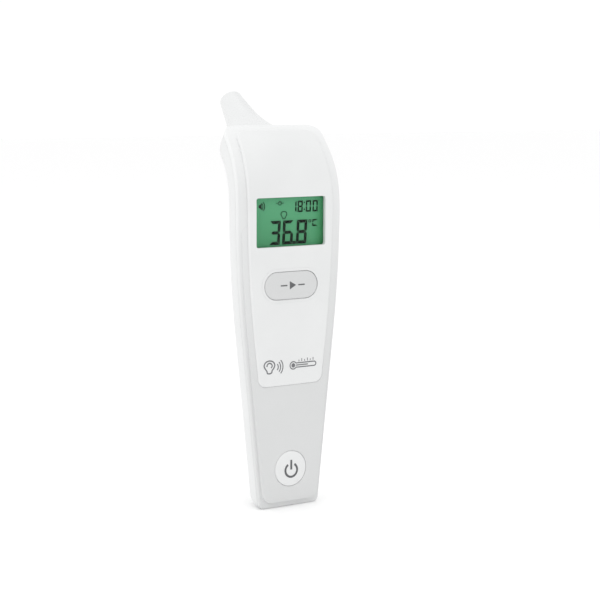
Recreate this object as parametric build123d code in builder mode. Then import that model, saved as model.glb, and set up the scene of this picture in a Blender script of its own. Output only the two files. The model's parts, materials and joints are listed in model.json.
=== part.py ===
from build123d import *
from math import asin, cos, radians, sin, sqrt
import os

# Infrared ear thermometer, standing on the foot of its handle. Millimetres.
# +X is to the user's left when the display faces the user, the display faces -Y and +Z is up.
# "depth" is always measured inwards from the front face, square to it.

# ---------------------------------------------------------------- driving dimensions
FRONT_FOOT_Y = -1.2        # front face at the foot
FRONT_BEND_Y = -2.0        # front face where the neck starts to bend back
BEND_Z = 101.5
BEND_RADIUS = 31.0         # front face of the neck
HEAD_TOP_Z = 127.2
BODY_DEPTH = 12.6          # front face to back
NECK_SWELL = 1.4           # the neck is this much deeper at its end
REAR_ROUND = 9.0
WALL = 1.8
PARTING_DEPTH = 1.6        # the front shell is a lid of this thickness
FOOT_HALF_WIDTH = 11.3
SIDE_SLOPE = 0.103         # half width gained per millimetre of height
SIDE_ARC_Z = 59.2          # where the straight sides turn into the shoulder arc
SHOULDER_Z = 100.0
SHOULDER_HALF_WIDTH = 19.5
SHOULDER_RADIUS = 398.0
HEAD_SIDE_RADIUS = 260.0
END_ROUND = 5.0            # round of the neck's end
FOOT_ROUND = 2.0
RIM_ROUND = 0.4            # outer edge of the front face
PARTING_GAP = 0.08

PANEL_RISE = 0.9          # raised face panel
PANEL_INSET = 3.4
PANEL_LOW_Z = 41.4
PANEL_HIGH_Z = 125.4
PANEL_BACK_DEPTH = 0.25
PANEL_CORNER = 3.0
PAD_FACE_Y = -2.1          # raised lower face of the front shell, plumb
PAD_INSET = 0.9
PAD_CORNER = 4.0
PAD_SLOPE = 1.5            # width of the slope round it
PAD_STEP = 0.4
PAD_LOW_Z = 1.6
PAD_HIGH_Z = 96.0

DISPLAY_Z = 95.85
DISPLAY_WIDTH = 26.3
DISPLAY_HEIGHT = 16.2
WINDOW_MARGIN = 0.7
WINDOW_DEPTH = 0.45
WINDOW_THICK = 0.4
GLASS_WIDTH = 28.5
GLASS_HEIGHT = 19.7
GLASS_FRONT_Y = -1.0
GLASS_THICK = 1.6
GLASS_BACK_Y = GLASS_FRONT_Y + GLASS_THICK

START_Z = 74.9
START_WIDTH = 20.2
START_HEIGHT = 9.1
START_FACE_Y = -3.25       # middle of its crowned face
START_CROWN_RADIUS = 143.0
POWER_Z = 13.0
POWER_RADIUS = 6.0
POWER_FACE_Y = -2.2
BUTTON_GAP = 0.09
FLANGE_WIDTH = 0.9

BOARD_FRONT_Y = 3.0
BOARD_THICK = 1.0
BOARD_BACK_Y = BOARD_FRONT_Y + BOARD_THICK
BOARD_INSET = 3.3
BOARD_LOW_Z = 5.5
BOARD_HIGH_Z = 112.0
PLUNGER_TOP_Y = 1.25       # front end of both switch plungers
SWITCH_FRONT_Y = 1.9
PLUNGER_RADIUS = 1.0
PLUNGER_LENGTH = 1.0

CELL_Z = 44.0              # CR2032: 20 mm across, 3.2 mm thick
CELL_RADIUS = 10.0
CELL_THICK = 3.2
CELL_FRONT_Y = 5.45
DOOR_LOW_Z = 24.0
DOOR_HIGH_Z = 60.0
DOOR_HALF_WIDTH = 10.5
DOOR_DEPTH = 10.9          # inner face of the battery door
DOOR_GAP = 0.2
KNUCKLE_RADIUS = 0.85

PROBE_TILT = 48.3          # degrees back from vertical
PROBE_BASE = (0, 19.36, 118.64)
PROBE_LENGTH = 25.5
TIP_RADIUS = 3.8
TIP_RING_LENGTH = 1.8
SPIGOT_RADIUS = 7.6
COLLAR_SECTIONS = [        # distance along the probe's axis, half width, upper and lower reach
    (0.0, 10.9, 10.9, 10.9),
    (-3.0, 11.0, 10.8, 10.8),
    (-6.0, 11.9, 10.4, 10.4),
    (-9.0, 13.5, 9.8, 10.1),
    (-12.0, 15.6, 9.0, 10.0),
    (-15.0, 16.1, 8.0, 10.1),
    (-18.0, 16.1, 6.8, 10.1),
    (-22.0, 15.4, 5.0, 9.6),
]
COLLAR_BLEND = 4.0

CASE_SCREWS = [(-6.0, 28.3), (6.0, 28.3)]
BOARD_SCREWS = [(-13.8, 80.6), (13.8, 80.6), (-8.4, 22.0), (8.4, 22.0)]
RUNNING_GAP = 0.05

os.makedirs("parts", exist_ok=True)


# ---------------------------------------------------------------- shared geometry
def half_width(z):
    """Half the body's width at a height of the front face."""
    if z <= SIDE_ARC_Z:
        return FOOT_HALF_WIDTH + SIDE_SLOPE * z
    radius = SHOULDER_RADIUS if z <= SHOULDER_Z else HEAD_SIDE_RADIUS
    return SHOULDER_HALF_WIDTH - radius + sqrt(radius**2 - (z - SHOULDER_Z) ** 2)


def bend_angle(z):
    """How far the front face leans back at a height, in radians."""
    return asin((z - BEND_Z) / BEND_RADIUS) if z > BEND_Z else 0.0


def front_y(z, depth=0.0):
    """The Y of the surface at a depth behind the front face, at a height on that surface."""
    if z <= BEND_Z:
        return FRONT_FOOT_Y + (FRONT_BEND_Y - FRONT_FOOT_Y) * z / BEND_Z + depth
    return FRONT_BEND_Y + BEND_RADIUS - sqrt((BEND_RADIUS - depth) ** 2 - (z - BEND_Z) ** 2)


def station(angle, z):
    """A plane across the body; its local Y points inwards from the front face."""
    y = front_y(z) if angle == 0 else FRONT_BEND_Y + BEND_RADIUS * (1 - cos(angle))
    return Plane(origin=(0, y, z), x_dir=(1, 0, 0), z_dir=(0, sin(angle), cos(angle)))


def rounded_block(inset, front=0.0):
    """The body's outer shape, or with an inset the same shape smaller on all sides but the front."""
    end_angle = bend_angle(HEAD_TOP_Z) - inset / BEND_RADIUS
    stations = [(0.0, BEND_Z * k / 12) for k in range(13)]
    stations += [(end_angle * k / 4, BEND_Z + BEND_RADIUS * sin(end_angle * k / 4)) for k in (1, 2, 3, 4)]
    with BuildPart() as block:
        for angle, z in stations:
            w = half_width(z) - inset
            back = BODY_DEPTH + NECK_SWELL * (angle / bend_angle(HEAD_TOP_Z)) ** 2 - inset
            r = REAR_ROUND - inset
            with BuildSketch(station(angle, z)):
                with BuildLine():
                    Line((-w, front), (w, front))
                    Line((w, front), (w, back - r))
                    RadiusArc((w, back - r), (w - r, back), -r)
                    Line((w - r, back), (-w + r, back))
                    RadiusArc((-w + r, back), (-w, back - r), -r)
                    Line((-w, back - r), (-w, front))
                make_face()
        loft()
        with BuildSketch(Plane.YZ):
            with BuildLine():
                sole = Line((-10, inset), (0.2, inset))
                heel = JernArc(sole @ 1, sole % 1, 5.0 - inset, 14)
                rise = JernArc(heel @ 1, heel % 1, 15.0 - inset, 34)
                Polyline(rise @ 1, (20, 25), (20, -20), (-10, -20), (-10, inset))
            make_face()
        extrude(amount=30, both=True, mode=Mode.SUBTRACT)
        end_normal = Vector(0, sin(end_angle), cos(end_angle))
        end_face = block.faces().sort_by(Axis((0, 0, 0), end_normal))[-1]
        front_edge = end_face.edges().sort_by(Axis.Y)[0]
        fillet([e for e in end_face.edges() if e != front_edge], END_ROUND - inset)
        if inset == 0:
            foot = [e for e in block.edges() if e.center().Z < 12 and e.center().Y > -1.1]
            fillet([e for e in foot if abs(e.center().X) > 3 or e.center().Y > 10], FOOT_ROUND)
            fillet(block.faces().sort_by(Axis.Y)[0].edges(), RIM_ROUND)
    return block.part


def slab(low, high):
    """Everything between two depths behind the front face, wider and taller than the body."""
    with BuildPart() as layer:
        with BuildSketch(Plane.YZ):
            with BuildLine():
                reach = radians(80)
                centre = (FRONT_BEND_Y + BEND_RADIUS, BEND_Z)
                ends = []
                for depth in (low, high):
                    r = BEND_RADIUS - depth
                    foot = (front_y(-20, depth), -20)
                    bend = (front_y(BEND_Z, depth), BEND_Z)
                    middle = (centre[0] - r * cos(reach / 2), centre[1] + r * sin(reach / 2))
                    tip = (centre[0] - r * cos(reach), centre[1] + r * sin(reach))
                    Line(foot, bend)
                    ThreePointArc(bend, middle, tip)
                    ends.append((foot, tip))
                Line(ends[0][0], ends[1][0])
                Line(ends[0][1], ends[1][1])
            make_face()
        extrude(amount=25, both=True)
    return layer.part


def face_prism(inset, low_z, high_z, corner, near=-12.0, far=40.0):
    """A prism along Y with the body's front outline, inset, between two heights."""
    heights = [low_z + (high_z - low_z) * k / 8 for k in range(9)]
    with BuildPart() as prism:
        with BuildSketch(Plane.XZ.offset(-near)) as outline:
            with BuildLine():
                right = [(half_width(z) - inset, z) for z in heights]
                Spline(*right)
                Spline(*[(-x, z) for x, z in right])
                Line(right[0], (-right[0][0], low_z))
                Line(right[-1], (-right[-1][0], high_z))
            make_face()
            fillet(outline.vertices(), corner)
        extrude(amount=near - far)
    return prism.part


PROBE_AXIS = Vector(0, sin(radians(PROBE_TILT)), cos(radians(PROBE_TILT)))
PROBE_PLANE = Plane(origin=PROBE_BASE, x_dir=(1, 0, 0), z_dir=PROBE_AXIS)
PROBE_SECTION = Plane(origin=PROBE_BASE, x_dir=(1, 0, 0), z_dir=Vector(1, 0, 0).cross(PROBE_AXIS))
PROBE_LINE = Axis(PROBE_BASE, PROBE_AXIS)


def neck_collar(wall):
    """The round swelling on the back of the neck that carries the probe, or its hollow."""
    with BuildPart() as collar:
        for height, half_w, upper, lower in COLLAR_SECTIONS:
            with BuildSketch(PROBE_PLANE.offset(height - (wall if height == 0 else 0))):
                with Locations((0, (lower - upper) / 2)):
                    Ellipse(half_w - wall, (upper + lower) / 2 - wall)
        loft()
    return collar.part


def cylinder_y(radius, near, far, x, z):
    """A cylinder along Y between two Y values."""
    with BuildPart() as pin:
        with BuildSketch(Plane.XZ.offset(-near)):
            with Locations((x, z)):
                Circle(radius)
        extrude(amount=near - far)
    return pin.part


def box_between(x0, x1, y0, y1, z0, z1):
    """A box given by its two ends on each axis."""
    with BuildPart() as block:
        with Locations(((x0 + x1) / 2, (y0 + y1) / 2, (z0 + z1) / 2)):
            Box(x1 - x0, y1 - y0, z1 - z0)
    return block.part


def stadium(width, height, near, far, z):
    """A slot-shaped prism along Y."""
    with BuildPart() as prism:
        with BuildSketch(Plane.XZ.offset(-near)):
            with Locations((0, z)):
                SlotOverall(width, height)
        extrude(amount=near - far)
    return prism.part


def frame_opening(width, height, corner, near, far, z):
    """A rounded rectangular prism along Y."""
    with BuildPart() as prism:
        with BuildSketch(Plane.XZ.offset(-near)):
            with Locations((0, z)):
                RectangleRounded(width, height, corner)
        extrude(amount=near - far)
    return prism.part


def finish(piece, name):
    """Labels a finished part and writes its STEP file."""
    piece.label = name
    export_step(piece, f"parts/{name}.step")


outer = rounded_block(0)
cavity = rounded_block(WALL)
collar_hollow = neck_collar(WALL)


# ---------------------------------------------------------------- shells
window_prism = frame_opening(
    DISPLAY_WIDTH + 2 * WINDOW_MARGIN, DISPLAY_HEIGHT + 2 * WINDOW_MARGIN, 1.2, -10, 5, DISPLAY_Z
)
glass_prism = frame_opening(
    GLASS_WIDTH + 0.6, GLASS_HEIGHT + 0.6, 0.5, GLASS_FRONT_Y - RUNNING_GAP, 5, DISPLAY_Z - 0.1
)
display_prism = frame_opening(DISPLAY_WIDTH, DISPLAY_HEIGHT, 0.8, -10, 5, DISPLAY_Z)
start_prism = stadium(START_WIDTH + 2 * BUTTON_GAP, START_HEIGHT + 2 * BUTTON_GAP, -10, 5, START_Z)
panel_prism = face_prism(PANEL_INSET, PANEL_LOW_Z, PANEL_HIGH_Z, PANEL_CORNER)
power_hole = cylinder_y(POWER_RADIUS + BUTTON_GAP, -10, 2, 0, POWER_Z)

with BuildPart() as front_shell:
    add(outer)
    add(slab(-5, PARTING_DEPTH), mode=Mode.INTERSECT)
    # the raised face, plumb, that runs out into the rim at display height
    with BuildPart(mode=Mode.PRIVATE) as pad:
        add(face_prism(PAD_INSET, PAD_LOW_Z, PAD_HIGH_Z, PAD_CORNER, PAD_FACE_Y, -0.5))
        pad_face = pad.faces().sort_by(Axis.Y)[0]
        chamfer(pad_face.edges(), PAD_STEP, PAD_SLOPE, reference=pad_face)
    add(pad.part)
    # the locating lip that stands inside the rear shell
    with BuildPart(mode=Mode.PRIVATE) as lip:
        add(rounded_block(WALL + 0.1))
        add(slab(PARTING_DEPTH - 0.4, PARTING_DEPTH + 1.4), mode=Mode.INTERSECT)
        add(rounded_block(WALL + 1.0), mode=Mode.SUBTRACT)
        add(collar_hollow, mode=Mode.SUBTRACT)
    add(lip.part)
    # screw posts
    for x, z in BOARD_SCREWS:
        add(cylinder_y(1.9, front_y(z, 1.2), BOARD_FRONT_Y, x, z))
    for x, z in CASE_SCREWS:
        add(cylinder_y(2.2, front_y(z, 1.2), 7.0, x, z))
    for x, z in BOARD_SCREWS:
        add(cylinder_y(0.8, 0.6, 20, x, z), mode=Mode.SUBTRACT)
    for x, z in CASE_SCREWS:
        add(cylinder_y(1.0, 2.6, 20, x, z), mode=Mode.SUBTRACT)
    with BuildPart(mode=Mode.PRIVATE) as pocket:
        add(panel_prism)
        add(slab(-5, PANEL_BACK_DEPTH), mode=Mode.INTERSECT)
    add(pocket.part, mode=Mode.SUBTRACT)
    add(window_prism, mode=Mode.SUBTRACT)
    add(glass_prism, mode=Mode.SUBTRACT)
    add(start_prism, mode=Mode.SUBTRACT)
    add(power_hole, mode=Mode.SUBTRACT)
finish(front_shell.part, "front_shell")

with BuildPart() as face_panel:
    add(panel_prism)
    add(slab(-PANEL_RISE, PANEL_BACK_DEPTH), mode=Mode.INTERSECT)
    fillet(face_panel.faces().sort_by(Axis.Y)[0].edges(), PANEL_RISE * 0.7)
    add(display_prism, mode=Mode.SUBTRACT)
    add(start_prism, mode=Mode.SUBTRACT)
finish(face_panel.part, "face_panel")

with BuildPart() as display_window:
    add(window_prism)
    add(slab(WINDOW_DEPTH, WINDOW_DEPTH + WINDOW_THICK), mode=Mode.INTERSECT)
finish(display_window.part, "display_window")

with BuildPart() as window_gasket:
    add(window_prism)
    add(slab(PANEL_BACK_DEPTH, WINDOW_DEPTH), mode=Mode.INTERSECT)
    add(display_prism, mode=Mode.SUBTRACT)
finish(window_gasket.part, "window_gasket")

with BuildPart() as door_blank:
    add(outer)
    with BuildPart(mode=Mode.PRIVATE) as door_outline:
        with BuildSketch(Plane.XZ.offset(-8)) as outline:
            with Locations((0, (DOOR_LOW_Z + DOOR_HIGH_Z) / 2)):
                Rectangle(2 * DOOR_HALF_WIDTH, DOOR_HIGH_Z - DOOR_LOW_Z)
            fillet(outline.vertices().group_by(Axis.Z)[-1], 4.0)
        extrude(amount=-8)
    add(door_outline.part, mode=Mode.INTERSECT)
    add(slab(DOOR_DEPTH, 20), mode=Mode.INTERSECT)

knuckle_z = DOOR_LOW_Z + KNUCKLE_RADIUS
knuckle_y = front_y(knuckle_z, DOOR_DEPTH + KNUCKLE_RADIUS)

with BuildPart() as rear_shell:
    add(outer)
    add(neck_collar(0))
    seam = [e for e in rear_shell.edges(Select.NEW) if e.center().Y > 5]
    fillet(seam, COLLAR_BLEND)
    add(slab(PARTING_DEPTH + PARTING_GAP, 60), mode=Mode.INTERSECT)
    add(cavity, mode=Mode.SUBTRACT)
    add(collar_hollow, mode=Mode.SUBTRACT)
    # the battery opening, with room for the door's knuckle
    with BuildPart(mode=Mode.PRIVATE) as door_opening:
        with BuildSketch(Plane.XZ.offset(-7)) as outline:
            with Locations((0, (DOOR_LOW_Z + DOOR_HIGH_Z) / 2)):
                Rectangle(2 * (DOOR_HALF_WIDTH + DOOR_GAP), DOOR_HIGH_Z - DOOR_LOW_Z + 2 * DOOR_GAP)
            fillet(outline.vertices().group_by(Axis.Z)[-1], 4.0 + DOOR_GAP)
        extrude(amount=-10)
    add(door_opening.part, mode=Mode.SUBTRACT)
    # the ledge that takes the case screws, below the cell
    with BuildPart(mode=Mode.PRIVATE) as ledge:
        add(box_between(-12.0, 12.0, 7.0, 8.1, 23.0, 32.0))
        add(box_between(-12.0, 12.0, 7.0, 9.8, 22.6, 23.6))
        add(rounded_block(WALL - 0.3), mode=Mode.INTERSECT)
    add(ledge.part)
    for x, z in CASE_SCREWS:
        add(cylinder_y(1.2, 5, 20, x, z), mode=Mode.SUBTRACT)
    with BuildPart(PROBE_PLANE, mode=Mode.PRIVATE) as probe_hole:
        with Locations((0, 0, 0)):
            Cylinder(SPIGOT_RADIUS + RUNNING_GAP, 12)
    add(probe_hole.part, mode=Mode.SUBTRACT)
finish(rear_shell.part, "rear_shell")

with BuildPart() as battery_door:
    add(door_blank.part)
    # below the hinge line only the rounded knuckle is left
    add(box_between(-20, 20, 0, 30, 0, knuckle_z), mode=Mode.SUBTRACT)
    with BuildPart(mode=Mode.PRIVATE) as knuckle:
        with BuildSketch(Plane.YZ.offset(-DOOR_HALF_WIDTH)):
            with Locations((knuckle_y, knuckle_z)):
                Circle(KNUCKLE_RADIUS)
        extrude(amount=2 * DOOR_HALF_WIDTH)
        add(door_blank.part, mode=Mode.INTERSECT)
    add(knuckle.part)
    # the finger recess under the door's upper edge
    with BuildPart(mode=Mode.PRIVATE) as recess:
        with Locations((0, front_y(DOOR_HIGH_Z, BODY_DEPTH) + 5.3, DOOR_HIGH_Z - 5.0)):
            Sphere(6.0)
    add(recess.part, mode=Mode.SUBTRACT)
finish(battery_door.part, "battery_door")

# ---------------------------------------------------------------- buttons and their switches
with BuildPart() as start_button:
    flange_y = front_y(START_Z, PARTING_DEPTH) + RUNNING_GAP
    add(stadium(START_WIDTH, START_HEIGHT, START_FACE_Y - 1, flange_y + 0.8, START_Z))
    with BuildPart(mode=Mode.PRIVATE) as crown:
        with Locations((0, START_FACE_Y + START_CROWN_RADIUS, START_Z)):
            Sphere(START_CROWN_RADIUS)
    add(crown.part, mode=Mode.INTERSECT)
    fillet(start_button.faces().sort_by(Axis.Y)[0].edges(), 0.6)
    flange = 2 * (BUTTON_GAP + FLANGE_WIDTH)
    add(stadium(START_WIDTH + flange, START_HEIGHT + flange, flange_y, flange_y + 0.8, START_Z))
    add(cylinder_y(1.6, flange_y + 0.7, PLUNGER_TOP_Y, 0, START_Z))
finish(start_button.part, "start_button")

with BuildPart() as power_button:
    flange_y = front_y(POWER_Z - POWER_RADIUS, PARTING_DEPTH) + RUNNING_GAP
    add(cylinder_y(POWER_RADIUS, POWER_FACE_Y, flange_y + 0.7, 0, POWER_Z))
    fillet(power_button.faces().sort_by(Axis.Y)[0].edges(), 0.3)
    add(cylinder_y(POWER_RADIUS + BUTTON_GAP + FLANGE_WIDTH, flange_y, flange_y + 0.7, 0, POWER_Z))
    add(cylinder_y(1.6, flange_y + 0.6, PLUNGER_TOP_Y, 0, POWER_Z))
finish(power_button.part, "power_button")

for name, z in (("start", START_Z), ("power", POWER_Z)):
    with BuildPart() as plunger:
        add(cylinder_y(PLUNGER_RADIUS, PLUNGER_TOP_Y, PLUNGER_TOP_Y + PLUNGER_LENGTH, 0, z))
    finish(plunger.part, f"{name}_plunger")
    with BuildPart() as switch:
        add(box_between(-2.2, 2.2, SWITCH_FRONT_Y, BOARD_FRONT_Y, z - 2.2, z + 2.2))
        chamfer(switch.edges().filter_by(Axis.Y), 0.4)
        add(cylinder_y(PLUNGER_RADIUS + RUNNING_GAP, 0, BOARD_FRONT_Y - 0.1, 0, z), mode=Mode.SUBTRACT)
        for side in (-1, 1):
            for end in (-1, 1):
                lead_x = side * 2.6
                lead_z = z + end * 1.5
                add(box_between(lead_x - 0.5, lead_x + 0.5, 2.8, BOARD_FRONT_Y, lead_z - 0.3, lead_z + 0.3))
    finish(switch.part, f"{name}_switch")

# ---------------------------------------------------------------- main board and what it carries
with BuildPart() as main_board:
    add(face_prism(BOARD_INSET, BOARD_LOW_Z, BOARD_HIGH_Z, 2.0, BOARD_FRONT_Y, BOARD_BACK_Y))
    for x, z in BOARD_SCREWS:
        add(cylinder_y(0.95, 2, 5, x, z), mode=Mode.SUBTRACT)
    for x, z in CASE_SCREWS:
        add(cylinder_y(2.5, 2, 5, x, z), mode=Mode.SUBTRACT)
finish(main_board.part, "main_board")

with BuildPart() as processor_chip:
    add(box_between(-3.5, 3.5, BOARD_BACK_Y, BOARD_BACK_Y + 0.9, 80.5, 87.5))
    chamfer(processor_chip.faces().sort_by(Axis.Y)[-1].edges(), 0.2)
finish(processor_chip.part, "processor_chip")

with BuildPart() as memory_chip:
    add(box_between(5.5, 10.5, BOARD_BACK_Y, BOARD_BACK_Y + 0.9, 68, 72))
    chamfer(memory_chip.faces().sort_by(Axis.Y)[-1].edges(), 0.2)
finish(memory_chip.part, "memory_chip")

with BuildPart() as crystal:
    add(box_between(-9.5, -6.3, BOARD_BACK_Y, BOARD_BACK_Y + 0.8, 83.2, 84.8))
    fillet(crystal.edges().filter_by(Axis.Y), 0.3)
finish(crystal.part, "crystal")

with BuildPart() as board_components:
    columns = (-9.0, -6.5, 6.5, 9.0)
    for row, z in enumerate((63.0, 66.0, 76.0, 90.0)):
        for x in columns:
            long_side = 1.0 if row % 2 else 0.6
            add(box_between(x - long_side, x + long_side, BOARD_BACK_Y, BOARD_BACK_Y + 0.55, z - 0.5, z + 0.5))
finish(board_components.part, "board_components")

with BuildPart() as buzzer:
    add(cylinder_y(5.5, BOARD_BACK_Y, BOARD_BACK_Y + 2.2, 0, 98.0))
    fillet(buzzer.faces().sort_by(Axis.Y)[-1].edges(), 0.5)
    add(cylinder_y(1.0, BOARD_BACK_Y + 1.4, 20, 0, 98.0), mode=Mode.SUBTRACT)
finish(buzzer.part, "buzzer")

# ---------------------------------------------------------------- display stack
def glass_block(gap, near, far):
    """The display glass's outline as a block, with a gap all round."""
    half_w = GLASS_WIDTH / 2 + gap
    half_h = GLASS_HEIGHT / 2 + gap
    middle = DISPLAY_Z - 0.1
    return box_between(-half_w, half_w, near, far, middle - half_h, middle + half_h)


with BuildPart() as lcd_frame:
    add(box_between(-15.5, 15.5, 0.3, BOARD_FRONT_Y, 84.6, 106.8))
    fillet(lcd_frame.edges().filter_by(Axis.Y), 1.0)
    add(glass_block(0.05, -2, 5), mode=Mode.SUBTRACT)
finish(lcd_frame.part, "lcd_frame")

with BuildPart() as lcd_glass:
    add(glass_block(0, GLASS_FRONT_Y, GLASS_BACK_Y))
finish(lcd_glass.part, "lcd_glass")

with BuildPart() as light_guide:
    add(box_between(-13.8, 13.8, GLASS_BACK_Y + 0.05, GLASS_BACK_Y + 1.05, 88.8, 105.3))
    fillet(light_guide.edges().filter_by(Axis.Y), 0.6)
finish(light_guide.part, "light_guide")

with BuildPart() as backlight_leds:
    for x in (-7.0, 7.0):
        add(box_between(x - 1.2, x + 1.2, GLASS_BACK_Y + 0.1, BOARD_FRONT_Y, 88.1, 88.7))
finish(backlight_leds.part, "backlight_leds")

with BuildPart() as contact_strip:
    add(box_between(-13.0, 13.0, GLASS_BACK_Y, BOARD_FRONT_Y, 86.0, 87.8))
finish(contact_strip.part, "contact_strip")

# ---------------------------------------------------------------- battery compartment
with BuildPart() as battery_tray:
    add(cylinder_y(CELL_RADIUS + 1.3, 4.5, 8.4, 0, CELL_Z))
    add(cylinder_y(CELL_RADIUS + 0.25, 5.1, 20, 0, CELL_Z), mode=Mode.SUBTRACT)
    # finger room beside the cell and slots for the two contacts
    add(box_between(-4.0, 4.0, 5.1, 20, CELL_Z + 7, CELL_Z + 14), mode=Mode.SUBTRACT)
    add(box_between(-14.0, -9.0, 5.1, 20, CELL_Z - 2.6, CELL_Z + 2.6), mode=Mode.SUBTRACT)
    add(cylinder_y(2.0, 0, 20, 0, CELL_Z), mode=Mode.SUBTRACT)
    add(rounded_block(WALL + 0.1), mode=Mode.INTERSECT)
finish(battery_tray.part, "battery_tray")

with BuildPart() as battery_cell:
    add(cylinder_y(CELL_RADIUS, CELL_FRONT_Y + 0.5, CELL_FRONT_Y + CELL_THICK, 0, CELL_Z))
    fillet(battery_cell.faces().sort_by(Axis.Y)[-1].edges(), 0.3)
    add(cylinder_y(CELL_RADIUS - 1.3, CELL_FRONT_Y, CELL_FRONT_Y + 0.5, 0, CELL_Z))
finish(battery_cell.part, "battery_cell")

with BuildPart() as contact_negative:
    add(cylinder_y(1.2, BOARD_BACK_Y, 5.2, 0, CELL_Z))
    add(box_between(-1.8, 1.8, 5.15, CELL_FRONT_Y, CELL_Z - 6.0, CELL_Z + 6.0))
finish(contact_negative.part, "contact_negative")

with BuildPart() as contact_positive:
    with BuildSketch(Plane.XY.offset(CELL_Z - 1.8)):
        with BuildLine():
            bent = FilletPolyline(
                (-12.3, BOARD_BACK_Y), (-12.3, 5.5), (-10.45, 5.5), (-10.45, 8.95), (-7.4, 8.95), radius=0.5
            )
        trace(bent, line_width=0.25)
    extrude(amount=3.6)
finish(contact_positive.part, "contact_positive")

# ---------------------------------------------------------------- probe and sensor
def probe_solid(*profile):
    """A turned part on the probe's axis, from (radius, distance out of the collar) points."""
    with BuildPart() as turned:
        with BuildSketch(PROBE_SECTION):
            with BuildLine():
                Polyline(*profile, close=True)
            make_face()
        revolve(axis=PROBE_LINE)
    return turned.part


def probe_tube(inner, outer_radius, low, high):
    """A plain tube on the probe's axis."""
    return probe_solid((inner, low), (outer_radius, low), (outer_radius, high), (inner, high))


RING_LOW = PROBE_LENGTH - TIP_RING_LENGTH
with BuildPart() as probe_cone:
    with BuildSketch(PROBE_SECTION):
        with BuildLine():
            ring_seat = (4.05, RING_LOW)
            Line((2.9, RING_LOW), ring_seat)
            Line(ring_seat, (5.2, 16.5))
            flare = ThreePointArc((5.2, 16.5), (6.95, 9.2), (10.5, 0.9))
            Polyline(flare @ 1, (10.5, 0.3), (SPIGOT_RADIUS, 0.3), (SPIGOT_RADIUS, -3.4))
            Polyline((SPIGOT_RADIUS, -3.4), (6.4, -3.4), (6.4, 4), (4.6, 12), (2.9, RING_LOW))
        make_face()
    revolve(axis=PROBE_LINE)
finish(probe_cone.part, "probe_cone")

with BuildPart() as probe_tip_ring:
    with BuildSketch(PROBE_SECTION):
        with BuildLine():
            Polyline((2.7, RING_LOW), (4.05, RING_LOW), (TIP_RADIUS + 0.1, PROBE_LENGTH - 0.6))
            nose = RadiusArc((TIP_RADIUS + 0.1, PROBE_LENGTH - 0.6), (TIP_RADIUS - 0.6, PROBE_LENGTH), -0.65)
            Polyline(nose @ 1, (2.7, PROBE_LENGTH), (2.7, RING_LOW))
        make_face()
    revolve(axis=PROBE_LINE)
finish(probe_tip_ring.part, "probe_tip_ring")

finish(probe_tube(0, 2.65, PROBE_LENGTH - 1.1, PROBE_LENGTH - 0.5), "sensor_window")
finish(probe_tube(1.8, 2.2, 9.0, PROBE_LENGTH - 1.15), "waveguide_tube")
finish(
    probe_solid((2.25, 11), (4.4, 11), (4.4, 1.3), (2.75, 1.3), (2.75, 8.95), (2.25, 8.95)),
    "sensor_block",
)

with BuildPart() as thermopile_sensor:
    add(probe_solid((0, 8.9), (2.3, 8.9), (2.3, 5.0), (2.7, 5.0), (2.7, 4.5), (0, 4.5)))
    with BuildSketch(PROBE_PLANE.offset(1.3)):
        with PolarLocations(1.3, 4):
            Circle(0.22)
    extrude(amount=3.25)
finish(thermopile_sensor.part, "thermopile_sensor")

finish(probe_tube(0, 6.3, 0.5, 1.3), "sensor_board")
finish(probe_tube(SPIGOT_RADIUS + 0.05, 10.3, 0.0, 0.3), "probe_gasket")
finish(probe_tube(SPIGOT_RADIUS + 0.02, 8.95, -3.3, -1.85), "probe_retainer")

with BuildPart() as sensor_cable:
    with BuildSketch(Plane.YZ.offset(-2.5)):
        with BuildLine():
            seat = PROBE_PLANE.from_local_coords((0, -3.4, 0.34))
            lead = PROBE_PLANE.from_local_coords((0, 2.2, 0.34))
            under = PROBE_PLANE.from_local_coords((0, 2.2, -6.5))
            ribbon = FilletPolyline(
                (seat.Y, seat.Z),
                (lead.Y, lead.Z),
                (under.Y, under.Z),
                (BOARD_BACK_Y + 0.16, 110.5),
                (BOARD_BACK_Y + 0.16, 104.5),
                radius=1.0,
            )
        trace(ribbon, line_width=0.3)
    extrude(amount=5)
finish(sensor_cable.part, "sensor_cable")

# ---------------------------------------------------------------- fasteners
def screw(x, z, seat_y, head_radius, head_height, shank_radius, length):
    """A pan-head screw driven towards -Y, with a cross recess."""
    with BuildPart() as fastener:
        add(cylinder_y(shank_radius, seat_y - length, seat_y + 0.1, x, z))
        add(cylinder_y(head_radius, seat_y, seat_y + head_height, x, z))
        fillet(fastener.faces().sort_by(Axis.Y)[-1].edges(), head_height * 0.4)
        arm = head_radius * 0.6
        floor = seat_y + head_height * 0.45
        for half_x, half_z in ((arm, 0.16), (0.16, arm)):
            cross = box_between(x - half_x, x + half_x, floor, seat_y + 5, z - half_z, z + half_z)
            add(cross, mode=Mode.SUBTRACT)
    return fastener.part


finish(
    Compound(children=[screw(x, z, BOARD_BACK_Y, 1.4, 0.9, 0.75, 2.6) for x, z in BOARD_SCREWS]),
    "board_screws",
)
finish(
    Compound(children=[screw(x, z, 8.1, 1.8, 1.0, 0.95, 4.6) for x, z in CASE_SCREWS]),
    "case_screws",
)
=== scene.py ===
"""Looks for the infrared ear thermometer: finishes, printed marks, display segments, light and camera."""
import json
import math

import bmesh
import bpy
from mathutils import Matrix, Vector
from mathutils.bvhtree import BVHTree


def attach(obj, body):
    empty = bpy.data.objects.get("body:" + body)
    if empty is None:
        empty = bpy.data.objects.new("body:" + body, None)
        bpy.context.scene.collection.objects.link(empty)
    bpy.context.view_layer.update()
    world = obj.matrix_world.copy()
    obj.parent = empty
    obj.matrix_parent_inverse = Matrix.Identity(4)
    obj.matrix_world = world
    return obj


MM = 0.001

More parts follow.
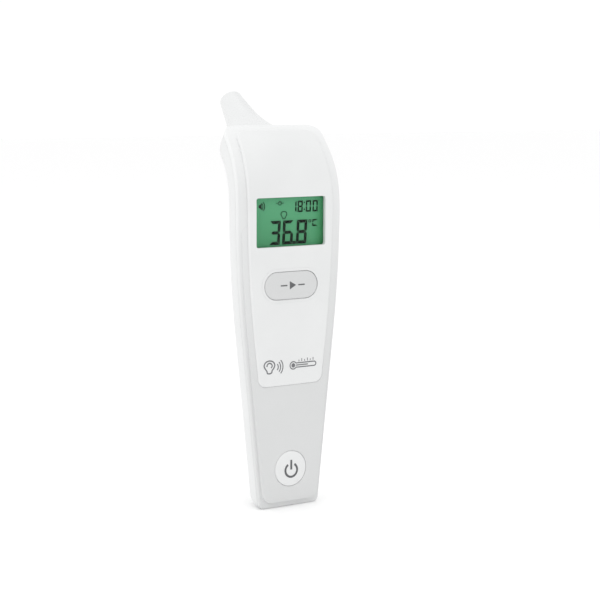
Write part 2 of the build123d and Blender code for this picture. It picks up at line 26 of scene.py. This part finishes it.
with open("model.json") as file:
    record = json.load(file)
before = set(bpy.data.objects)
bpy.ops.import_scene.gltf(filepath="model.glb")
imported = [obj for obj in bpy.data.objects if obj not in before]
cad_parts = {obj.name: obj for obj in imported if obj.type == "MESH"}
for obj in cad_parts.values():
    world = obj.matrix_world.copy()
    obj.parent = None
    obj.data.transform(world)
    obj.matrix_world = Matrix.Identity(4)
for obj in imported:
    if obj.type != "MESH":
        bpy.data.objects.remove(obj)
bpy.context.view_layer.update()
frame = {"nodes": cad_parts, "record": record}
nodes = frame["nodes"]


def srgb(red, green, blue):
    """A 0 to 255 display colour as the linear colour that Blender uses."""
    linear = []
    for value in (red, green, blue):
        v = value / 255
        linear.append(v / 12.92 if v <= 0.04045 else ((v + 0.055) / 1.055) ** 2.4)
    return (*linear, 1.0)


# ---------------------------------------------------------------- materials
class Graph:
    """A new material with its Principled shader, and short calls for the nodes that feed it."""

    def __init__(self, name):
        self.material = bpy.data.materials.new(name)
        self.material.use_nodes = True
        self.tree = self.material.node_tree
        self.shader = self.tree.nodes["Principled BSDF"]
        self.place = self.add("ShaderNodeTexCoord").outputs["Object"]

    def add(self, kind, **settings):
        node = self.tree.nodes.new(kind)
        for key, value in settings.items():
            setattr(node, key, value)
        return node

    def link(self, source, target):
        self.tree.links.new(source, target)

    def set(self, **values):
        """Constant values, on the shader's own sockets."""
        for key, value in values.items():
            self.shader.inputs[key.replace("_", " ")].default_value = value

    def scaled(self, scale):
        """The place on the object, stretched by a factor on each axis."""
        mapping = self.add("ShaderNodeMapping")
        mapping.inputs["Scale"].default_value = scale
        self.link(self.place, mapping.inputs["Vector"])
        return mapping.outputs["Vector"]

    def noise(self, size, detail=2.0, place=None):
        """Noise whose features are about size metres across."""
        node = self.add("ShaderNodeTexNoise")
        node.inputs["Scale"].default_value = 1 / size
        node.inputs["Detail"].default_value = detail
        self.link(place or self.place, node.inputs["Vector"])
        return node.outputs["Fac"]

    def span(self, source, low, high, start=0.3, end=0.7):
        """A value's range start to end, turned into low to high."""
        node = self.add("ShaderNodeMapRange")
        for key, value in (("From Min", start), ("From Max", end), ("To Min", low), ("To Max", high)):
            node.inputs[key].default_value = value
        self.link(source, node.inputs["Value"])
        return node.outputs["Result"]

    def mix(self, factor, first, second):
        """A mix of two colours, each a colour or another node's output."""
        node = self.add("ShaderNodeMix", data_type="RGBA")
        self.link(factor, node.inputs["Factor"])
        for socket, value in ((node.inputs[6], first), (node.inputs[7], second)):
            if isinstance(value, tuple):
                socket.default_value = value
            else:
                self.link(value, socket)
        return node.outputs[2]

    def axis(self, name):
        node = self.add("ShaderNodeSeparateXYZ")
        self.link(self.place, node.inputs[0])
        return node.outputs[name]

    def colour(self, source):
        self.link(source, self.shader.inputs["Base Color"])

    def roughness(self, source, low, high):
        self.link(self.span(source, low, high), self.shader.inputs["Roughness"])

    def bump(self, source, depth):
        node = self.add("ShaderNodeBump")
        node.inputs["Distance"].default_value = depth
        node.inputs["Strength"].default_value = 1.0
        self.link(source, node.inputs["Height"])
        self.link(node.outputs["Normal"], self.shader.inputs["Normal"])

    def grain(self, size, depth, roughness):
        """The fine spark-eroded surface of moulded plastic, in its gloss and its relief."""
        fine = self.noise(size, 3)
        self.roughness(fine, roughness - 0.06, roughness + 0.06)
        self.bump(fine, depth)
        self.set(IOR=1.52)


DRIFT = 14 * MM
PLASTIC_GRAIN = 0.35 * MM
PLASTIC_DEPTH = 0.004 * MM


def moulded(name, tone, shade, roughness, grain=PLASTIC_GRAIN, depth=PLASTIC_DEPTH):
    """Moulded plastic: a slow drift between two close tones, and a fine grain."""
    g = Graph(name)
    g.colour(g.mix(g.span(g.noise(DRIFT), 0, 1), tone, shade))
    g.grain(grain, depth, roughness)
    return g.material


def front_white_painted_shade():
    """The front shell's plastic, the same white as shell_white but with painted light and shade: darker low
    down and a little lighter towards the neck, as if lit from above.
    """
    g = Graph("front_white_painted_shade")
    # painted light and shade: the tone rises from dark low down to light at the neck, standing in for light
    # from above
    height = g.span(g.axis("Z"), 0, 1, 45 * MM, 126 * MM)
    painted_light_by_height = g.mix(height, srgb(211, 212, 212), srgb(229, 230, 230))
    g.colour(g.mix(g.span(g.noise(DRIFT), 0, 0.1), painted_light_by_height, srgb(200, 201, 201)))
    g.grain(PLASTIC_GRAIN, PLASTIC_DEPTH, 0.44)
    return g.material


def rubber(name, tone, shade):
    """Soft silicone or foam, with a fine pitted surface."""
    g = Graph(name)
    pits = g.noise(0.22 * MM, 4)
    g.colour(g.mix(g.span(pits, 0, 1), tone, shade))
    g.roughness(pits, 0.6, 0.8)
    g.bump(pits, 0.02 * MM)
    g.set(Sheen_Weight=0.2)
    return g.material


def metal(name, tone, shade, roughness, stretch=(1, 1, 30)):
    """Drawn or turned metal, with fine lines along one direction."""
    g = Graph(name)
    lines = g.noise(0.5 * MM, 3, g.scaled(stretch))
    g.colour(g.mix(g.span(lines, 0, 1), tone, shade))
    g.roughness(lines, roughness - 0.07, roughness + 0.09)
    g.bump(lines, 0.004 * MM)
    g.set(Metallic=1.0)
    return g.material


def ink(name, tone, shade, roughness=0.5, gloss=0.5):
    """A printed mark: its density varies a little."""
    g = Graph(name)
    cloud = g.noise(0.3 * MM, 3)
    g.colour(g.mix(g.span(cloud, 0, 1), tone, shade))
    g.roughness(cloud, roughness - 0.05, roughness + 0.05)
    g.bump(cloud, 0.003 * MM)
    g.set(Specular_IOR_Level=gloss)
    return g.material


def window_clear():
    """Hard-coated clear lens, with the faintest swirl in its gloss."""
    g = Graph("window_clear")
    haze = g.noise(4 * MM, 2)
    g.colour(g.mix(g.span(haze, 0, 1), (0.10, 0.14, 0.12, 1), (0.07, 0.11, 0.09, 1)))
    g.roughness(haze, 0.03, 0.06)
    g.bump(haze, 0.002 * MM)
    g.set(Alpha=0.06, IOR=1.49)
    return g.material


def lcd_green():
    """Display green: brighter high up and darker low down, with a painted shadow of the window's right wall
    darkening its right side.
    """
    g = Graph("lcd_green")
    # painted shadow: towards the right side the green turns to a darker copy, where the window's wall shades
    # it
    across = g.span(g.axis("X"), 0, 1, 9.4 * MM, 12.6 * MM)
    height = g.span(g.axis("Z"), 0, 1, 88.5 * MM, 101 * MM)
    field = g.mix(height, srgb(84, 158, 112), srgb(98, 176, 130))
    painted_wall_shadow = g.mix(height, srgb(60, 138, 86), srgb(72, 158, 104))
    cells = g.noise(0.12 * MM, 1)
    base = g.mix(across, field, painted_wall_shadow)
    g.colour(g.mix(g.span(cells, 0, 0.08), base, srgb(50, 120, 80)))
    g.roughness(cells, 0.50, 0.60)
    g.bump(cells, 0.001 * MM)
    g.set(Specular_IOR_Level=0.08)
    return g.material


def board_green():
    """Solder-masked board: lighter traces laid out like the joints of brickwork, with gold vias."""
    g = Graph("board_green")
    bands = g.add("ShaderNodeTexBrick", offset=0.37, squash=1.6)
    turned = g.add("ShaderNodeMapping")
    turned.inputs["Rotation"].default_value = (math.pi / 2, 0, 0)
    g.link(g.place, turned.inputs["Vector"])
    g.link(turned.outputs["Vector"], bands.inputs["Vector"])
    bands.inputs["Scale"].default_value = 260
    bands.inputs["Mortar Size"].default_value = 0.045
    vias = g.add("ShaderNodeTexVoronoi")
    vias.inputs["Scale"].default_value = 420
    g.link(g.place, vias.inputs["Vector"])
    mask = g.mix(bands.outputs["Fac"], (0.012, 0.115, 0.045, 1), (0.030, 0.200, 0.085, 1))
    dots = g.span(vias.outputs["Distance"], 1, 0, 0.10, 0.14)
    g.colour(g.mix(dots, mask, (0.75, 0.53, 0.20, 1)))
    g.roughness(g.noise(1.5 * MM), 0.24, 0.36)
    g.bump(bands.outputs["Fac"], 0.03 * MM)
    return g.material


def component_tan():
    """Small ceramic parts: each patch a different tan, from dark to light."""
    g = Graph("component_tan")
    cells = g.add("ShaderNodeTexVoronoi")
    cells.inputs["Scale"].default_value = 330
    g.link(g.place, cells.inputs["Vector"])
    patch = g.add("ShaderNodeSeparateColor")
    g.link(cells.outputs["Color"], patch.inputs[0])
    g.colour(g.mix(patch.outputs[0], (0.30, 0.20, 0.12, 1), (0.52, 0.42, 0.30, 1)))
    fine = g.noise(0.2 * MM, 2)
    g.roughness(fine, 0.45, 0.6)
    g.bump(fine, 0.006 * MM)
    return g.material


def stripes(name, first, second, pitch, roughness):
    """Alternate stripes across X, as on a zebra strip or a ribbon cable."""
    g = Graph(name)
    wave = g.add("ShaderNodeTexWave")
    wave.inputs["Scale"].default_value = 0.314 / pitch
    g.link(g.place, wave.inputs["Vector"])
    g.colour(g.mix(g.span(wave.outputs["Fac"], 0, 1, 0.45, 0.55), first, second))
    fine = g.noise(0.3 * MM, 2)
    g.roughness(fine, roughness - 0.05, roughness + 0.05)
    g.bump(wave.outputs["Fac"], 0.01 * MM)
    return g.material


FINISHES = {
    "shell_white": moulded("shell_white", srgb(222, 223, 223), srgb(219, 220, 220), 0.44),
    "panel_white": moulded("panel_white", srgb(225, 226, 226), srgb(222, 223, 223), 0.36, depth=0.002 * MM),
    "button_grey": moulded("button_grey", srgb(208, 209, 209), srgb(205, 206, 206), 0.48, 0.25 * MM),
    "window_clear": window_clear(),
    "lcd_green": lcd_green(),
    "seal_grey": rubber("seal_grey", srgb(190, 192, 193), srgb(176, 178, 180)),
    "inner_plastic": moulded("inner_plastic", srgb(226, 225, 220), srgb(218, 217, 211), 0.5),
    "light_guide_clear": moulded("light_guide_clear", srgb(214, 240, 222), srgb(196, 228, 206), 0.3),
    "board_green": board_green(),
    "chip_black": moulded("chip_black", srgb(34, 34, 36), srgb(26, 26, 27), 0.55, 0.15 * MM, 0.01 * MM),
    "component_tan": component_tan(),
    "steel": metal("steel", (0.60, 0.60, 0.61, 1), (0.46, 0.46, 0.47, 1), 0.30),
    "gold": metal("gold", (0.80, 0.58, 0.24, 1), (0.70, 0.48, 0.18, 1), 0.27),
    "aluminium": metal("aluminium", (0.74, 0.75, 0.77, 1), (0.62, 0.63, 0.65, 1), 0.34),
    "silicon_window": metal("silicon_window", (0.17, 0.18, 0.22, 1), (0.12, 0.12, 0.16, 1), 0.14, (1, 1, 1)),
    "ribbon_amber": stripes("ribbon_amber", srgb(196, 128, 44), srgb(150, 84, 26), 0.5 * MM, 0.3),
    "zebra_grey": stripes("zebra_grey", srgb(190, 190, 190), srgb(40, 40, 42), 0.2 * MM, 0.6),
}
FRONT_WHITE_PAINTED_SHADE = front_white_painted_shade()
POWER_CAP = moulded("power_cap_white", srgb(226, 227, 227), srgb(223, 224, 224), 0.42, 0.25 * MM)
PROBE_WHITE = moulded("probe_white", srgb(221, 222, 222), srgb(218, 219, 219), 0.30, depth=0.0008 * MM)
SEGMENT_INK = ink("segment_ink", srgb(10, 16, 12), srgb(16, 24, 18), 0.5, 0.05)
MARK_INK = ink("mark_ink", srgb(84, 85, 87), srgb(96, 97, 99))
PICTOGRAM_INK = ink("pictogram_ink", srgb(104, 105, 108), srgb(114, 115, 118))

NODE_FINISHES = {
    "front_shell": FRONT_WHITE_PAINTED_SHADE,
    "power_button": POWER_CAP,
    "probe_cone": PROBE_WHITE,
    "probe_tip_ring": PROBE_WHITE,
}


def dress_nodes():
    """Every CAD node gets the finish of its material slot, or its own."""
    for part in frame["record"]["subparts"]:
        material = NODE_FINISHES.get(part["node"], FINISHES[part["material_slot"]])
        for slot in nodes[part["node"]].material_slots:
            slot.material = material


# ---------------------------------------------------------------- flat shapes, in millimetres across and up
def arc(x, z, radius, start, end, steps=16):
    """Points on an arc, between two angles in degrees."""
    angles = [math.radians(start + (end - start) * k / steps) for k in range(steps + 1)]
    return [(x + radius * math.cos(a), z + radius * math.sin(a)) for a in angles]


def smooth_value(p, q, r, s, t):
    """One coordinate of a smooth line, from q at t = 0 to r at t = 1; p and s are the next points out."""
    straight = 2 * q + (r - p) * t
    return 0.5 * (straight + (2 * p - 5 * q + 4 * r - s) * t**2 + (3 * q - p - 3 * r + s) * t**3)


def smooth(points, steps=5):
    """A smooth line through the given points."""
    ends = [points[0]] + points + [points[-1]]
    line = []
    for a, b, c, d in zip(ends, ends[1:], ends[2:], ends[3:]):
        for k in range(steps):
            line.append(tuple(smooth_value(*values, k / steps) for values in zip(a, b, c, d)))
    return line + [points[-1]]


def stroke(points, width):
    """A line drawn with a pen of some width, as quads. It is closed if it ends where it starts."""
    closed = math.dist(points[0], points[-1]) < 1e-6
    rails = []
    for k, (x, z) in enumerate(points):
        if closed:
            before, after = points[(k - 1) % (len(points) - 1)], points[(k + 1) % (len(points) - 1)]
        else:
            before, after = points[max(k - 1, 0)], points[min(k + 1, len(points) - 1)]
        run = Vector((after[0] - before[0], after[1] - before[1])).normalized()
        side = Vector((-run.y, run.x)) * width / 2
        rails.append(((x + side.x, z + side.y), (x - side.x, z - side.y)))
    return [[a[0], b[0], b[1], a[1]] for a, b in zip(rails, rails[1:])]


def placed(shapes, x=0.0, z=0.0, scale=1.0):
    """The shapes scaled, then moved."""
    return [[(x + scale * px, z + scale * pz) for px, pz in shape] for shape in shapes]


SEGMENTS = {"0": "abcdef", "1": "bc", "3": "abcdg", "6": "acdefg", "8": "abcdefg", "C": "adef"}


def digit(char, x, z, width, height, pen, lean):
    """One seven-segment figure, with small gaps between its segments and a lean to the right."""
    gap = pen * 0.06
    half = pen / 2
    right = x + width
    top = z + height
    mid = z + height / 2
    outlines = {
        "a": [(x + gap, top), (right - gap, top), (right - gap - pen, top - pen), (x + gap + pen, top - pen)],
        "d": [(x + gap + pen, z + pen), (right - gap - pen, z + pen), (right - gap, z), (x + gap, z)],
        "g": [
            (x + half + gap, mid), (x + pen + gap, mid + half), (right - pen - gap, mid + half),
            (right - half - gap, mid), (right - pen - gap, mid - half), (x + pen + gap, mid - half),
        ],
        "f": [
            (x, top - gap), (x + pen, top - pen - gap), (x + pen, mid + half + gap),
            (x + half, mid + gap), (x, mid + half),
        ],
        "e": [
            (x, mid - half), (x + half, mid - gap), (x + pen, mid - half - gap),
            (x + pen, z + pen + gap), (x, z + gap),
        ],
    }
    for left, mirrored in (("f", "b"), ("e", "c")):
        outlines[mirrored] = [(x + right - px, pz) for px, pz in outlines[left]]
    return [[(px + (pz - z) * lean, pz) for px, pz in outlines[s]] for s in SEGMENTS[char]]


# an ear one unit tall
EAR_RIM = [
    (0.55, 0.02), (0.33, 0.06), (0.27, 0.24), (0.12, 0.44), (0.03, 0.68), (0.18, 0.93), (0.5, 1.02),
    (0.83, 0.92), (0.97, 0.66), (0.88, 0.42), (0.74, 0.26), (0.70, 0.10), (0.55, 0.02),
]
EAR_FOLD = [(0.27, 0.58), (0.33, 0.76), (0.50, 0.84), (0.68, 0.76), (0.74, 0.60), (0.64, 0.46)]


def ear(x, z, height, pen, lines=(EAR_RIM, EAR_FOLD)):
    """An ear in outline: its rim, and the fold inside it unless only the rim is asked for."""
    quads = []
    for points in lines:
        quads += stroke(smooth(points), pen / height)
    return placed(quads, x, z, height)


def box_shape(x0, x1, z0, z1):
    """A rectangle."""
    return [(x0, z0), (x1, z0), (x1, z1), (x0, z1)]


def stadium_line(width, height, z):
    """The outline of a slot-shaped key, closed, with points along its straight sides too."""
    radius = height / 2
    reach = width / 2 - radius
    line = []
    for side in (1, -1):
        line += arc(side * reach, z, radius, -90 * side, -90 * side + 180)
        line += [(side * reach * (1 - k / 4), z + side * radius) for k in range(1, 8)]
    return line + [line[0]]


# ---------------------------------------------------------------- putting shapes on a surface
def surface_of(node):
    """A CAD node's faces, ready for rays to be cast at them."""
    mesh = nodes[node].data
    return BVHTree.FromPolygons([v.co for v in mesh.vertices], [tuple(p.vertices) for p in mesh.polygons])


LAID_CLEARANCE = 0.01 * MM
WELD_DISTANCE = 0.001 * MM
OUTSIDE = 60 * MM


def lay_on(name, shapes, node, body, material, thickness=0.03, facing=-1, bevel=0.0):
    """A thin closed piece with these flat shapes, lying on a node's front (facing -1) or back (facing 1)."""
    surface = surface_of(node)
    mesh = bmesh.new()
    for shape in shapes:
        corners = []
        for x, z in shape:
            start = Vector((x * MM, facing * OUTSIDE, z * MM))
            hit = surface.ray_cast(start, Vector((0, -facing, 0)))[0]
            corners.append(mesh.verts.new((x * MM, hit.y + facing * LAID_CLEARANCE, z * MM)))
        mesh.faces.new(corners)
    bmesh.ops.remove_doubles(mesh, verts=mesh.verts, dist=WELD_DISTANCE)
    raised = bmesh.ops.extrude_face_region(mesh, geom=list(mesh.faces))
    for item in raised["geom"]:
        if isinstance(item, bmesh.types.BMVert):
            item.co.y += facing * thickness * MM
    bmesh.ops.recalc_face_normals(mesh, faces=mesh.faces)
    data = bpy.data.meshes.new(name)
    mesh.to_mesh(data)
    mesh.free()
    piece = bpy.data.objects.new(name, data)
    bpy.context.scene.collection.objects.link(piece)
    data.materials.append(material)
    if bevel:
        soft = piece.modifiers.new("soft_edge", "BEVEL")
        soft.width = bevel * MM
        soft.segments = 3
        soft.limit_method = "ANGLE"
    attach(piece, body)


# ---------------------------------------------------------------- what the display shows
PICTURE_SHIFT = 0.22
LEAN = math.tan(math.radians(3.3))
FIGURE_BASE = 88.35
CLOCK_BASE = 98.75
SPEAKER_Z = 101.1
DIAL_X = -3.5
DIAL_Z = 101.95


def show(name, shapes):
    """A group of segments on the display's glass."""
    lay_on(name, placed(shapes, PICTURE_SHIFT), "lcd_glass", "case", SEGMENT_INK)


def draw_display():
    """The temperature with its unit, the time, a speaker, a dial and an ear."""
    figures = [box_shape(1.42, 2.46, FIGURE_BASE, FIGURE_BASE + 1.05)]
    for char, x in (("3", -7.65), ("6", -2.75), ("8", 2.55)):
        figures += digit(char, x, FIGURE_BASE, 4.05, 7.9, 1.06, LEAN)
    show("lcd_temperature", figures)

    unit = stroke(arc(8.0, 95.7, 0.42, 0, 360, 20), 0.3)
    unit += digit("C", 8.85, 93.9, 2.0, 2.35, 0.5, LEAN)
    show("lcd_unit", unit)

    clock = [box_shape(5.62, 6.1, z, z + 0.46) for z in (99.4, 101.7)]
    for char, x, width in (("1", 0.85, 1.95), ("8", 3.2, 2.0), ("0", 6.4, 2.0), ("0", 9.0, 2.0)):
        clock += digit(char, x, CLOCK_BASE, width, 3.8, 0.55, LEAN / 2)
    show("lcd_clock", clock)

    speaker = [box_shape(-11.5, -11.0, SPEAKER_Z - 0.5, SPEAKER_Z + 0.5)]
    speaker.append([
        (-10.99, SPEAKER_Z - 0.5), (-10.4, SPEAKER_Z - 1.3),
        (-10.4, SPEAKER_Z + 1.3), (-10.99, SPEAKER_Z + 0.5),
    ])
    for radius in (1.3, 1.95):
        speaker += stroke(arc(-11.2, SPEAKER_Z, radius, -46, 46, 12), 0.3)
    show("lcd_speaker", speaker)

    dial = stroke(arc(DIAL_X, DIAL_Z, 0.6, 0, 360, 24), 0.24)
    dial.append(box_shape(DIAL_X - 0.08, DIAL_X + 0.08, DIAL_Z - 0.05, DIAL_Z + 0.45))
    dial.append(box_shape(DIAL_X + 0.09, DIAL_X + 0.4, DIAL_Z - 0.05, DIAL_Z + 0.1))
    for side in (-1, 1):
        centre = DIAL_X + side * 1.2
        dial.append(box_shape(centre - 0.25, centre + 0.25, DIAL_Z - 0.15, DIAL_Z + 0.15))
    show("lcd_dial_icon", dial)

    show("lcd_ear_icon", ear(-3.2, 96.75, 2.4, 0.28, [EAR_RIM]))


# ---------------------------------------------------------------- printed and moulded marks
START_KEY_WIDTH = 20.2
START_KEY_HEIGHT = 9.1
START_KEY_Z = 74.9
HALO_MARGIN = 1.2
START_MARK_X = 0.3
START_MARK_Z = 75.0
POWER_MARK_X = 0.25
POWER_MARK_Z = 12.4
PICTOGRAM_Z = 48.0
PICTOGRAM_PEN = 0.36
BULB_X = 0.9
STEM_RADIUS = 0.72
RIB_BASE_Z = 38.0
RIB_PITCH = 2.2


def draw_start_marks():
    """A triangle between two bars on the large key, and the raised lip around the key."""
    mark = [[(-0.85, START_MARK_Z - 1.35), (1.55, START_MARK_Z), (-0.85, START_MARK_Z + 1.35)]]
    for side in (-1, 1):
        centre = START_MARK_X + side * 3.35
        mark += stroke([(centre - 1.25, START_MARK_Z), (centre + 1.25, START_MARK_Z)], 0.42)
    lay_on("start_mark", mark, "start_button", "start_key", MARK_INK)
    halo = stadium_line(START_KEY_WIDTH + HALO_MARGIN, START_KEY_HEIGHT + HALO_MARGIN, START_KEY_Z)
    lay_on("start_halo", stroke(halo, 0.82), "face_panel", "case", FINISHES["panel_white"],
           thickness=0.1, bevel=0.05)


def draw_power_mark():
    """The usual power symbol, an open ring with a bar."""
    mark = stroke(arc(POWER_MARK_X, POWER_MARK_Z, 2.28, 122, 418, 40), 0.72)
    mark.append(box_shape(POWER_MARK_X - 0.36, POWER_MARK_X + 0.36, POWER_MARK_Z + 0.2, POWER_MARK_Z + 3.5))
    lay_on("power_mark", mark, "power_button", "power_key", MARK_INK)


def draw_pictogram():
    """An ear, the waves it gives off and a lying thermometer with its scale."""
    shapes = ear(-10.4, PICTOGRAM_Z - 2.1, 4.3, 0.42)
    for radius in (1.5, 2.4, 3.3):
        shapes += stroke(arc(-6.4, PICTOGRAM_Z, radius, -42, 42, 12), PICTOGRAM_PEN)
    outline = arc(BULB_X, PICTOGRAM_Z, 1.25, 35, 325, 28) + arc(9.0, PICTOGRAM_Z, STEM_RADIUS, -90, 90, 10)
    shapes += stroke(outline + [outline[0]], PICTOGRAM_PEN)
    shapes.append(arc(BULB_X, PICTOGRAM_Z, 0.72, 0, 345, 23))
    shapes.append(box_shape(1.9, 6.6, PICTOGRAM_Z - PICTOGRAM_PEN / 2, PICTOGRAM_Z + PICTOGRAM_PEN / 2))
    for k in range(6):
        x = 3.1 + 1.1 * k
        top = PICTOGRAM_Z + (2.15 if k % 2 else 1.75)
        shapes.append(box_shape(x - 0.13, x + 0.13, PICTOGRAM_Z + 1.15, top))
    lay_on("panel_pictogram", shapes, "face_panel", "case", PICTOGRAM_INK)


def draw_battery_door():
    """Grip ribs and an opening arrow, moulded on the battery door."""
    ribs = []
    for k in range(5):
        z = RIB_BASE_Z + RIB_PITCH * k
        reach = 5.2 - 0.35 * abs(k - 2)
        steps = [-reach + reach * j / 6 for j in range(13)]
        ribs += stroke([(x, z) for x in steps], 0.7)
    lay_on("door_grip_ribs", ribs, "battery_door", "door", FINISHES["shell_white"],
           thickness=0.3, facing=1, bevel=0.14)
    arrow = [[(-1.5, 33.6), (1.5, 33.6), (0.0, 31.6)]]
    lay_on("door_arrow", arrow, "battery_door", "door", FINISHES["shell_white"],
           thickness=0.25, facing=1, bevel=0.08)


# ---------------------------------------------------------------- camera, floor and light
TARGET = Vector((5.976, 1.567, 69.093)) * MM
DISTANCE = 515.5 * MM
AZIMUTH = math.radians(31.3)
ELEVATION = math.radians(7.66)
LENS = 92.52
SENSOR_WIDTH = 36


def add_camera():
    """A long lens at the left of the display, a little above it."""
    camera = bpy.data.objects.new("camera", bpy.data.cameras.new("camera"))
    bpy.context.scene.collection.objects.link(camera)
    flat = math.cos(ELEVATION)
    outward = Vector((-math.sin(AZIMUTH) * flat, -math.cos(AZIMUTH) * flat, math.sin(ELEVATION)))
    camera.location = TARGET + outward * DISTANCE
    camera.rotation_euler = (-outward).to_track_quat("-Z", "Y").to_euler()
    camera.data.lens = LENS
    camera.data.sensor_width = SENSOR_WIDTH
    bpy.context.scene.camera = camera


def add_floor():
    """A wide, pale, plain floor."""
    mesh = bmesh.new()
    bmesh.ops.create_grid(mesh, x_segments=8, y_segments=8, size=4.0)
    data = bpy.data.meshes.new("floor")
    mesh.to_mesh(data)
    mesh.free()
    floor = bpy.data.objects.new("floor", data)
    bpy.context.scene.collection.objects.link(floor)
    g = Graph("floor_paper")
    fibres = g.noise(0.6 * MM, 3)
    g.colour(g.mix(g.span(fibres, 0, 1), (0.97, 0.97, 0.97, 1), (0.96, 0.96, 0.96, 1)))
    g.roughness(fibres, 0.85, 0.95)
    g.set(Specular_IOR_Level=0.1)
    data.materials.append(g.material)


def add_softbox(name, azimuth, elevation, distance, size, watts):
    """A square soft light aimed at the middle of the object."""
    data = bpy.data.lights.new(name, "AREA")
    data.size = size
    data.energy = watts
    lamp = bpy.data.objects.new(name, data)
    bpy.context.scene.collection.objects.link(lamp)
    turn = math.radians(azimuth)
    rise = math.radians(elevation)
    outward = Vector((math.sin(turn) * math.cos(rise), -math.cos(turn) * math.cos(rise), math.sin(rise)))
    lamp.location = TARGET + outward * distance
    lamp.rotation_euler = (-outward).to_track_quat("-Z", "Y").to_euler()


def add_light():
    """A bright white tent, with soft boxes from above and from the left."""
    world = bpy.data.worlds.new("tent")
    world.use_nodes = True
    background = world.node_tree.nodes["Background"]
    background.inputs["Color"].default_value = (1.0, 1.0, 1.0, 1.0)
    background.inputs["Strength"].default_value = 1.03
    bpy.context.scene.world = world
    add_softbox("key_left", -88, 20, 1.0, 0.5, 1.2)
    add_softbox("overhead", 20, 84, 1.0, 0.9, 1.4)


dress_nodes()
draw_display()
draw_start_marks()
draw_power_mark()
draw_pictogram()
draw_battery_door()
add_camera()
add_floor()
add_light()
bpy.context.scene.view_settings.view_transform = "Standard"
